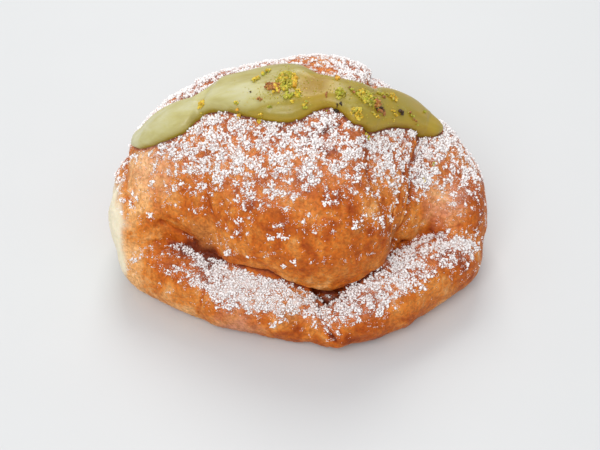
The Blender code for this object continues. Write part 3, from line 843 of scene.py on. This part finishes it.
def wrap_lips(points, turn, reach):
    """The torn lip and the groove beside each wrap's edge, in mm, and how much the groove is creased."""
    height = np.zeros(len(points))
    creases = np.zeros(len(points))
    on_skin = 1.0 - smooth(*SKIN_END, reach)
    at_back = smooth(0.35, 0.5, turn)
    for i, (side, strength, _) in enumerate(WRAP_EDGES):
        edge = wrap_edge(i, turn) + 0.5 * waves(points, 3.2, 3 + i)
        low_side = (edge - points[:, 0]) * side
        lip, groove = (hump(low_side - middle, width) * on_skin for _, middle, width in (LIP, GROOVE))
        clear = strength + (BACK_CLARITY - strength) * at_back
        clear *= 0.65 + 0.7 * waves(points, 7.0, 60 + i)
        height += (LIP[0] * lip - GROOVE[0] * groove) * clear
        creases = np.maximum(creases, groove * clear)
    return height, creases


def crust_relief(points):
    """How far the crust stands out at each point, in mm, how creased it is, and which layer shows."""
    turn, reach = roll_place(points)
    horn, along = on_horns(points)
    lips, creases = wrap_lips(points, turn, reach)
    round_roll = waves(points, WRINKLE_SIZE, 1)
    on_horn = np.column_stack([along, points[:, 2], points[:, 1] * 0.3])
    round_horn = waves(on_horn, WRINKLE_SIZE, 2)
    height = WRINKLE_HEIGHT * (round_roll * (1 - horn) + round_horn * horn)
    height += lips
    blister = waves(points, BLISTER_SIZE, 5) + 0.5 * waves(points, BLISTER_SIZE / 2, 6)
    height += BLISTER_HEIGHT * smooth(*BLISTER_LEVELS, blister)
    run = np.where(horn > 0.5, along, points[:, 0])
    sheet = np.column_stack([run, points[:, 1], points[:, 2]])
    layers = waves(sheet, FLAKE_SIZE, 8) + FLAKE_FRAY * waves(sheet, FLAKE_FRAY_SIZE, 9)
    for levels in FLAKE_LEVELS:
        height += FLAKE_HEIGHT * smooth(*levels, layers)
    height += PORE_HEIGHT * waves(points, PORE_SIZE, 12)
    wobble = points + 0.5 * waves(points, 4.0, 14)[:, None]
    for depth, half_width, path in STROKES:
        gap, _ = nearest_on_line(wobble, path)
        stroke = hump(gap, half_width)
        height -= depth * stroke
        if depth > 0:
            creases = np.maximum(creases, stroke * depth)
    return height, creases, layers


def crevices(item, points, normals):
    """How shut in each point is, from 0 in the open to 1 where another wall of dough is near."""
    tree = tree_of(item)
    shut = np.zeros(len(points))
    reach = SHUT_REACH * MM
    for i, (point, normal) in enumerate(zip(points.tolist(), normals.tolist())):
        start = (Vector(point) + Vector(normal) * 0.8) * MM
        for lean in SHUT_LEANS:
            hit, _, _, gap = tree.ray_cast(start, (Vector(normal) + Vector(lean)).normalized(), reach)
            if hit is not None:
                shut[i] += (1.0 - gap / reach) / len(SHUT_LEANS)
    return shut


def valleys(crust, points, normals):
    """How deep in a valley of the dough each point lies, from 0 on open skin to 1 at its bottom."""
    softer = add_object("softer_crust", crust.data.copy())
    shape_with(softer, "SMOOTH", factor=0.5, iterations=VALLEY_SMOOTHING)
    rise = ((points_of(softer) - points) * normals).sum(axis=1)
    bpy.data.objects.remove(softer)
    return smooth(*VALLEY_FILL, rise)


def unbaked_share(points, inner, outer):
    middle, half = (np.array(values) for values in UNBAKED_SIDE)
    reach = np.linalg.norm((points - middle) / half, axis=1)
    return 1.0 - smooth(inner, outer, reach + 0.2 * waves(points, 5.0, 20))


def near_spots(points, spots, wander=0.0):
    share = np.zeros(len(points))
    shift = wander * waves(points, 3.0, 21)
    for middle, radius in spots:
        gap = np.linalg.norm(points - np.array(middle), axis=1)
        share = np.maximum(share, 1.0 - smooth(0.2, 1.2, gap / radius + shift))
    return share


def changes_at(points, spots):
    """The sum of soft round changes, each largest at its middle."""
    total = np.zeros(len(points))
    for middle, radius, change in spots:
        gap = np.linalg.norm(points - np.array(middle), axis=1)
        total += change * hump(gap, radius)
    return total


def sugar_level(points, normals, creases, shut, valley):
    """How deep the sugar lies on average: it shows where this and the clots add up to more than 0."""
    level = changes_at(points, SUGAR_HEAPS) + weighed(
        SUGAR_DEPTH, plain=1.0, faces_up=smooth(0.25, 0.8, normals[:, 2]), creased=creases,
        drifts=waves(points, 9.0, 30),
    )
    level = np.where(level > 0.0, SUGAR_CAP * np.tanh(level / SUGAR_CAP), level)
    level = np.where(normals[:, 2] < 0.05, NO_SUGAR, level + changes_at(points, PACKED_SUGAR))
    return level + weighed(SUGAR_DEPTH, shut=shut, valley=valley, unbaked=unbaked_share(points, 0.7, 1.1))


def sugar_clots(points):
    """How much the powder has clotted at each point, from about -1 to 1."""
    return sum(share * waves(points, size, 31 + i) for i, (share, size) in enumerate(SUGAR_CLOTS))


def thin_underside(crust):
    """Leaves only large faces where the crust lies flat on the table."""
    work_on(crust)
    bpy.ops.object.mode_set(mode="EDIT")
    bpy.ops.mesh.select_all(action="DESELECT")
    bpy.ops.object.mode_set(mode="OBJECT")
    flat = (points_of(crust)[:, 2] < 0.35) & (normals_of(crust)[:, 2] < -0.97)
    crust.data.vertices.foreach_set("select", flat)
    bpy.ops.object.mode_set(mode="EDIT")
    bpy.ops.mesh.decimate(ratio=UNDERSIDE_SHARE)
    bpy.ops.object.mode_set(mode="OBJECT")


def build_crust():
    crust = add_object("baked_crust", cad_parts["pastry"].data.copy())
    edit_all(crust, bpy.ops.mesh.remove_doubles, threshold=0.001 * MM)
    shape_with(crust, "REMESH", mode="VOXEL", voxel_size=CRUST_VOXEL * MM)
    shape_with(crust, "SMOOTH", factor=0.5, iterations=CRUST_SMOOTHING)
    thin_underside(crust)
    even_skin = tree_of(crust)

    points = points_of(crust)
    normals = normals_of(crust)
    height, creases, layers = crust_relief(points)
    shut = crevices(crust, points, normals)
    valley = valleys(crust, points, normals) * (0.3 + 0.7 * smooth(0.1, 0.4, shut))
    height -= VALLEY_DEPTH * valley
    off_table = smooth(0.0, 1.5, points[:, 2])
    level = sugar_level(points, normals, creases, shut, valley)
    sugar = sugar_clots(points) + level
    height += FILM_HEIGHT * smooth(-0.1, 0.3, sugar)
    set_points(crust, points + normals * (height * off_table)[:, None])

    # The crust's baked tone, with painted shade added in its creases, shut-in places, valleys and dark
    # hollows.
    browning_and_shade = changes_at(points, BAKE_LIGHT_AND_SHADE_SPOTS) + weighed(
        BROWNING_AND_SHADE, plain=1.0, broad=waves(points, 13.0, 40), small=waves(points, 5.0, 41), creased=creases,
        shut=shut, valley=valley, top=smooth(0.5, 0.95, normals[:, 2]),
        under=smooth(0.1, -0.5, normals[:, 2]), flaked=layers < -0.22,
        unbaked=unbaked_share(points, 0.9, 1.9),
    )
    veil = VEIL * smooth(-0.55, 0.3, level) + DUSTY_VEIL * near_spots(points, DUSTY_SPOTS, 0.3)
    note_on(crust, "browning_and_shade", browning_and_shade)
    note_on(crust, "unbaked", unbaked_share(points, 0.72, 1.05))
    note_on(crust, "torn", 0.75 * near_spots(points, TAN_PATCHES, 0.35))
    note_on(crust, "sugar", np.clip(sugar, -2.0, 2.0) * 0.5)
    note_on(crust, "dust", veil)
    crust.data.materials.clear()
    crust.data.materials.append(baked_crust_material())
    crust.data.shade_smooth()
    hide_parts("pastry")
    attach(crust, "root")
    return crust, even_skin, level


# Layer edges

def on_roll(skin, turn, x):
    """The crust's point at a turn round the roll and an x, or None where a horn covers it."""
    middle_y, middle_z, half_y, half_z = roll_section(x)
    middle = Vector((x, middle_y, middle_z))
    angle = math.pi * turn
    out = Vector((0.0, -math.cos(angle) * half_y, math.sin(angle) * half_z))
    hit, _, _, _ = skin.ray_cast((middle + out * 1.5) * MM, -out.normalized())
    if hit is None or (hit / MM - middle).length > ROLL_LIMIT * out.length:
        return None
    return hit / MM


def layer_runs(skin, i, offset, share):
    """The stretches of one layer's edge that show: lists of points, each with how far it stands off."""
    side, strength, _ = WRAP_EDGES[i]
    turns = np.arange(0.03, 0.97, LAYER_STEP)
    spots = np.column_stack([turns * 130.0, np.full(len(turns), 9.0 * i), np.full(len(turns), 5.0 * offset)])
    xs = wrap_edge(i, turns) + side * offset + 0.5 * waves(spots, 7.0, 71) + 0.25 * waves(spots, 1.6, 72)
    stands = (0.35 + 0.65 * strength) * share * (0.75 + 1.3 * waves(spots, 8.0, 73)) - 0.12
    runs = [[]]
    for turn, x, stand in zip(turns, xs, stands):
        spot = on_roll(skin, turn, x) if stand > 0.0 else None
        if spot is None or runs[-1] and (spot - runs[-1][-1][0]).length > LAYER_JUMP:
            runs.append([])
        if spot is not None:
            runs[-1].append((spot, stand))
    return [run for run in runs if len(run) >= LAYER_RINGS]


def capped_tube(rings):
    """Points and faces of a closed tube through the rings."""
    sides = len(rings[0])
    points = [point for ring in rings for point in ring]
    caps = [tuple(range(sides)), tuple(range(len(points) - 1, len(points) - sides - 1, -1))]
    return points, tube_sides(len(rings), sides) + caps


def build_layer_edges(crust, even_skin):
    """The torn edges of the dough's thin layers, which stand off the crust along each wrap."""
    skin = tree_of(crust)
    points = []
    faces = []
    for i, (side, _, _) in enumerate(WRAP_EDGES):
        for offset, share in LAYER_OFFSETS:
            for run in layer_runs(skin, i, offset, share):
                rings = []
                for k, (spot, stand) in enumerate(run):
                    along = (run[min(k + 2, len(run) - 1)][0] - run[max(k - 2, 0)][0]).normalized()
                    _, out, _, _ = even_skin.find_nearest(spot * MM)
                    across = out.cross(along).normalized()
                    if across.x * side > 0:
                        across.negate()
                    ends = min(1.0, k / LAYER_FADE, (len(run) - 1 - k) / LAYER_FADE)
                    full = min(1.0, stand * ends)
                    size = 0.35 + 0.65 * full
                    sink = 0.4 * (1.0 - full)
                    rings.append([
                        spot + across * u * size + out * (v * size - sink) for u, v in LAYER_SECTION
                    ])
                made, sides = capped_tube(rings)
                faces += [tuple(index + len(points) for index in face) for face in sides]
                points += made
    piece = piece_of("layer_edges", points, faces)
    edit_all(piece, bpy.ops.mesh.normals_make_consistent, inside=False)
    spots = points_of(piece)
    facing = normals_of(piece)
    note_on(piece, "browning_and_shade", 0.05 + 0.2 * waves(spots, 4.0, 74))
    note_on(piece, "sugar", 0.45 * smooth(0.35, 0.9, facing[:, 2]) - 0.25 + 0.3 * waves(spots, 5.0, 75))
    note_on(piece, "dust", 0.5 * VEIL * smooth(0.2, 0.8, facing[:, 2]))
    piece.data.materials.append(crust.data.materials[0])
    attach(piece, "root")


# Cream

def skin_point(skin, x, y):
    """The crust's point under (x, y), and its outward direction there."""
    facing = Vector((0.0, 0.0, 0.0))
    for dx, dy in ((0.0, 0.0), (1.5, 0.0), (-1.5, 0.0), (0.0, 1.5), (0.0, -1.5)):
        near, normal, _, _ = drop(skin, x + dx, y + dy)
        if near is not None:
            facing += normal
    return drop(skin, x, y)[0] / MM, facing.normalized()


def level_skin(skin, spot):
    """How high the crust is on average around a spot, so that the cream bridges the steps below it."""
    hits = [drop(skin, spot.x + dx, spot.y)[0] for dx in (-3.0, -1.5, 0.0, 1.5, 3.0)]
    found = [hit.z / MM for hit in hits if hit is not None]
    return sum(found) / len(found)


def fold_depth(x, y):
    """How far the folds press the cream in at x and y, in mm."""
    depth = 0.0
    for path, deep, half_width in CREAM_FOLDS:
        gap, _ = nearest_on_line(np.array([[x, y]]), path)
        depth += deep * hump(gap[0], half_width)
    return depth


def cream_ring(skin, share):
    """One ring of the stripe, over its top and back under it, with how deep its colour is at each point,
    painted light and shade included.
    """
    x, front, back, thick = through(CREAM_STATIONS, share)
    x += ROLL_X
    middle = (front + back) / 2 + ROLL_Y
    half = (back - front) / 2
    ring = []
    ripe_light_and_shade = []
    for i in range(CREAM_TOP_POINTS):
        angle = math.pi * i / (CREAM_TOP_POINTS - 1)
        across = -math.copysign(abs(math.cos(angle)) ** 0.62, math.cos(angle))
        high = math.sin(angle) ** 0.75
        spot, facing = skin_point(skin, x, middle + half * across)
        spot.z += high * (level_skin(skin, spot) - spot.z)
        ripple = CREAM_RIPPLE * noise.noise(spot / CREAM_RIPPLE_SIZE)
        ridge = CREAM_RIDGE * noise.noise(Vector((x / 16.0, across * 3.2, 4.0)))
        rise = (thick + ripple + ridge - fold_depth(spot.x, spot.y)) * high
        ring.append(spot + facing * rise)
        edge = 1.0 - high
        # Painted highlight: the pale patch on the left part of the stripe, where light falls on it. Painted
        # shade: the darker narrow middle, a hollow between two swells.
        pale = math.exp(-((x + 18.0) / 9.0) ** 2 - ((spot.y - 2.5) / 4.5) ** 2)
        neck_shade = math.exp(-((x - 5.0) / 6.0) ** 2 - ((spot.y - 3.0) / 5.0) ** 2)
        ripe_light_and_shade.append(-0.06 + 0.6 * share + 0.4 * edge - 0.25 * pale + 0.65 * neck_shade)
    for i in range(CREAM_UNDER_POINTS):
        across = 1.0 - 2.0 * i / (CREAM_UNDER_POINTS - 1)
        spot, facing = skin_point(skin, x, middle + half * across)
        ring.append(spot - facing * CREAM_SUNK)
        ripe_light_and_shade.append(0.6)
    return ring, ripe_light_and_shade


def build_cream(skin):
    points = []
    ripe_light_and_shade = []
    for i in range(CREAM_RINGS):
        ring, tones = cream_ring(skin, i / (CREAM_RINGS - 1))
        points += ring
        ripe_light_and_shade += tones
    sides = CREAM_TOP_POINTS + CREAM_UNDER_POINTS
    faces = tube_sides(CREAM_RINGS, sides)
    for first, outward in ((0, -CREAM_TIP), ((CREAM_RINGS - 1) * sides, CREAM_TIP)):
        faces += [(first + j, first + (j + 1) % sides, len(points)) for j in range(sides)]
        points.append(sum(points[first:first + sides], Vector()) / sides + Vector((outward, 0.0, 0.0)))
        ripe_light_and_shade.append(0.5)
    cream = piece_of("pistachio_stripe", points, faces)
    edit_all(cream, bpy.ops.mesh.normals_make_consistent, inside=False)
    note_on(cream, "ripe_light_and_shade", np.array(ripe_light_and_shade))
    cream.data.materials.append(cream_material())
    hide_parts("pistachio_cream")
    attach(cream, "root")
    return cream


def shade_beside(crust, cream, level):
    """Paints the cream's shadow on the crust right beside it as a darker tone, and keeps the sugar off there.
    """
    tree = tree_of(cream)
    points = points_of(crust)
    beside = np.zeros(len(points))
    low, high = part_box("pistachio_cream")
    low, high = np.array(low) / MM - 3.0, np.array(high) / MM + 3.0
    close = ((points > low) & (points < high)).all(axis=1)
    for i in np.flatnonzero(close):
        hit, _, _, gap = tree.find_nearest(Vector(points[i]) * MM, 2.0 * MM)
        if hit is not None:
            beside[i] = 1.0 - gap / (2.0 * MM)
    # The darker tone beside the cream is painted shadow, and the sugar is kept off there.
    for name, change in (("browning_and_shade", 0.6), ("sugar", -0.5)):
        data = crust.data.attributes[name].data
        kept = read(data, "value", 1)[:, 0] + change * smooth(0.35, 0.85, beside)
        data.foreach_set("value", kept.astype(np.float32))
    return level - smooth(0.45, 0.9, beside)


# Strewn things

def speck(dice, points_count):
    """One angular bit about 1 across: the hull of a few points on a ball."""
    shape = bmesh.new()
    ways = dice.normal(size=(points_count, 3))
    ways /= 2.0 * np.linalg.norm(ways, axis=1)[:, None]
    for way in ways.tolist():
        shape.verts.new(way)
    made = bmesh.ops.convex_hull(shape, input=shape.verts)
    spare = [item for item in made["geom_interior"] if isinstance(item, bmesh.types.BMVert)]
    bmesh.ops.delete(shape, geom=spare, context="VERTS")
    bmesh.ops.recalc_face_normals(shape, faces=shape.faces)
    shape.verts.index_update()
    points = np.array([vert.co[:] for vert in shape.verts])
    faces = np.array([[vert.index for vert in face.verts] for face in shape.faces])
    shape.free()
    return points, faces


def turned(dice, count):
    """Random turns, one matrix each."""
    q = dice.normal(size=(count, 4))
    q /= np.linalg.norm(q, axis=1)[:, None]
    w, x, y, z = q.T
    rows = [
        [1 - 2 * (y * y + z * z), 2 * (x * y - w * z), 2 * (x * z + w * y)],
        [2 * (x * y + w * z), 1 - 2 * (x * x + z * z), 2 * (y * z - w * x)],
        [2 * (x * z - w * y), 2 * (y * z + w * x), 1 - 2 * (x * x + y * y)],
    ]
    return np.array(rows).transpose(2, 0, 1)


def strewn(name, kinds, dice, spots, sizes, shading=False):
    """One piece of many bits: each is one of the kinds, turned, stretched and set at its spot."""
    turns = turned(dice, len(spots))
    stretch = dice.uniform(0.75, 1.25, size=(len(spots), 3)) * sizes[:, None]
    all_points = []
    all_faces = []
    count = 0
    for k, (shape, faces) in enumerate(kinds):
        mine = np.arange(len(spots)) % len(kinds) == k
        placed = np.einsum("nij,npj->npi", turns[mine], shape[None] * stretch[mine][:, None])
        placed += spots[mine][:, None]
        offsets = count + np.arange(mine.sum()) * len(shape)
        all_points.append(placed.reshape(-1, 3))
        all_faces.append((faces[None] + offsets[:, None, None]).reshape(-1, 3))
        count += mine.sum() * len(shape)
    return piece_of(name, np.concatenate(all_points), np.concatenate(all_faces).tolist(), shading)


def crust_samples(crust, dice, count):
    """Random spots on the crust, each with one corner of the face it is on."""
    crust.data.calc_loop_triangles()
    corners = read(crust.data.loop_triangles, "vertices", kind=np.int32)
    points = points_of(crust)
    a, b, c = (points[corners[:, i]] for i in range(3))
    area = np.linalg.norm(np.cross(b - a, c - a), axis=1) / 2
    picked = dice.choice(len(corners), size=count, p=area / area.sum())
    u, v = dice.uniform(size=(2, count))
    flip = u + v > 1
    u = np.where(flip, 1 - u, u)
    v = np.where(flip, 1 - v, v)
    spots = a[picked] + u[:, None] * (b - a)[picked] + v[:, None] * (c - a)[picked]
    return spots, corners[picked, 0]


def under_cream(tree, spots):
    """True where the cream lies over a spot, or less than 1.5 mm under it."""
    covered = np.zeros(len(spots), bool)
    for i, spot in enumerate(spots.tolist()):
        start = Vector(spot) * MM
        hit = tree.ray_cast(start - Vector((0.0, 0.0, 1.5 * MM)), Vector((0.0, 0.0, 1.0)), 12.0 * MM)
        covered[i] = hit[0] is not None
    return covered


def build_sugar(crust, cream, level):
    dice = np.random.RandomState(SUGAR_SEED)
    normals = normals_of(crust)
    sugar = sugar_material()
    cream_tree = tree_of(cream)
    for name, count, shapes, corners, (small, large), threshold, lift, gap in SUGAR_KINDS:
        spots, corner = crust_samples(crust, dice, count * SUGAR_TRIES)
        amount = sugar_clots(spots) + level[corner]
        likely = smooth(threshold - 0.06, threshold + 0.14, amount)
        chosen = np.flatnonzero(likely > dice.uniform(size=len(spots)))
        if gap:
            chosen = chosen[apart(spots[chosen], gap)]
        chosen = chosen[:int(count * SUGAR_SPARE)]
        chosen = chosen[~under_cream(cream_tree, spots[chosen])][:count]
        spots = spots[chosen] + normals[corner[chosen]] * lift
        sizes = dice.uniform(small, large, size=len(spots))
        if name == "sugar_clumps":
            spots, sizes = with_lone_clumps(crust, dice, spots, sizes)
        bits = [speck(dice, corners) for _ in range(shapes)]
        piece = strewn(name, bits, dice, spots, sizes, shading=True)
        piece.data.materials.append(sugar)
        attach(piece, "root")


def apart(spots, gap):
    """Which spots to keep, in their order, so that no two are nearer than a gap in mm."""
    taken = {}
    kept = []
    for i, spot in enumerate(spots.tolist()):
        cell = tuple(int(value // gap) for value in spot)
        near = (
            other
            for dx in (-1, 0, 1) for dy in (-1, 0, 1) for dz in (-1, 0, 1)
            for other in taken.get((cell[0] + dx, cell[1] + dy, cell[2] + dz), ())
        )
        if all(math.dist(spot, other) >= gap for other in near):
            taken.setdefault(cell, []).append(spot)
            kept.append(i)
    return kept


def with_lone_clumps(crust, dice, spots, sizes):
    """Adds the clumps that lie alone on the bare front, each a cluster of bits."""
    tree = tree_of(crust)
    more = []
    for x, y, z, radius in LONE_CLUMPS:
        for _ in range(int(LONE_BITS * radius / LONE_RADIUS)):
            near = Vector((x, y, z)) + Vector(dice.normal(size=3)) * radius * 0.5
            hit, facing, _, _ = tree.find_nearest(near * MM)
            more.append(hit / MM + facing * 0.3)
    more_sizes = dice.uniform(0.5, 1.0, size=len(more))
    return np.concatenate([spots, np.array(more)]), np.concatenate([sizes, more_sizes])


def top_point(trees, x, y, lift):
    """The highest point of the pieces under (x, y), lifted off its face."""
    hits = [drop(tree, x, y) for tree in trees]
    point, facing, _, _ = max((hit for hit in hits if hit[0] is not None), key=lambda hit: hit[0].z)
    return point / MM + facing * lift


def build_nuts(cream, crust):
    dice = np.random.RandomState(NUT_SEED)
    trees = (tree_of(cream), tree_of(crust))
    laid = {kind: [] for kind in NUT_COLOURS}
    for x, y, half_length, half_width, turn, count, large, mix in NUT_PILES:
        kinds = mix.split()
        large *= NUT_SIZE
        cos, sin = math.cos(math.radians(turn)), math.sin(math.radians(turn))
        for i in range(count):
            way = dice.uniform(0.0, 2.0 * math.pi)
            reach = dice.uniform() ** 0.65
            along, across = half_length * reach * math.cos(way), half_width * reach * math.sin(way)
            heap = (1.0 - reach ** 2) * min(1.2, 0.7 * min(half_length, half_width))
            size = large * dice.uniform(0.45, 1.0)
            lift = 0.25 * size + heap * dice.uniform()
            spot = top_point(trees, x + along * cos - across * sin, y + along * sin + across * cos, lift)
            laid[kinds[i % len(kinds)]].append((*spot, size))
    for x, y, wide, deep, count in NUT_DUST:
        for i in range(count):
            dx, dy = dice.normal(size=2) * (wide, deep)
            if drop(trees[0], x + dx, y + dy)[0] is not None:
                spot = top_point(trees, x + dx, y + dy, 0.05)
                laid[DUST_KINDS[i % len(DUST_KINDS)]].append((*spot, dice.uniform(0.25, 0.5)))
    for kind, (dark, light) in NUT_COLOURS.items():
        bits = [speck(dice, NUT_POINTS) for _ in range(NUT_SHAPES)]
        rows = np.array(laid[kind])
        piece = strewn(f"nuts_{kind}", bits, dice, rows[:, :3], rows[:, 3])
        piece.data.materials.append(nut_material(f"chopped_pistachio_{kind}", dark, light))
        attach(piece, "root")


# Stage

def add_light(name, place, size, power, tint):
    lamp = bpy.data.lights.new(name, "AREA")
    lamp.shape = "SQUARE"
    lamp.size = size * MM
    lamp.energy = power
    lamp.color = linear(tint)[:3]
    made = add_object(name, lamp)
    made.location = Vector(place) * MM
    made.rotation_euler = (Vector(LIGHT_AIM) - Vector(place)).to_track_quat("-Z", "Y").to_euler()


def build_stage():
    bpy.ops.mesh.primitive_plane_add(size=4.0, location=(0.0, 0.0, -0.1 * MM))
    table = bpy.context.object
    table.name = "table_top"
    table.data.materials.append(table_material())

    world = bpy.data.worlds.new("soft_room")
    world.use_nodes = True
    sky = world.node_tree.nodes["Background"]
    sky.inputs["Color"].default_value = linear("#fafbff")
    sky.inputs["Strength"].default_value = 0.65
    bpy.context.scene.world = world
    for light in LIGHTS:
        add_light(*light)

    lens = bpy.data.cameras.new("camera")
    camera = add_object("camera", lens)
    elevation = math.radians(VIEW_ELEVATION)
    away = Vector((0.0, -math.cos(elevation), math.sin(elevation)))
    camera.location = (Vector(VIEW_TARGET) + away * VIEW_DISTANCE) * MM
    camera.rotation_euler = (-away).to_track_quat("-Z", "Y").to_euler()
    lens.sensor_width = SENSOR
    lens.lens = SENSOR * VIEW_DISTANCE / VIEW_ACROSS
    bpy.context.scene.camera = camera
    bpy.context.scene.view_settings.view_transform = "Standard"


build_stage()
crust, even_skin, level = build_crust()
cream = build_cream(even_skin)
level = shade_beside(crust, cream, level)
build_layer_edges(crust, even_skin)
build_nuts(cream, crust)
build_sugar(crust, cream, level)
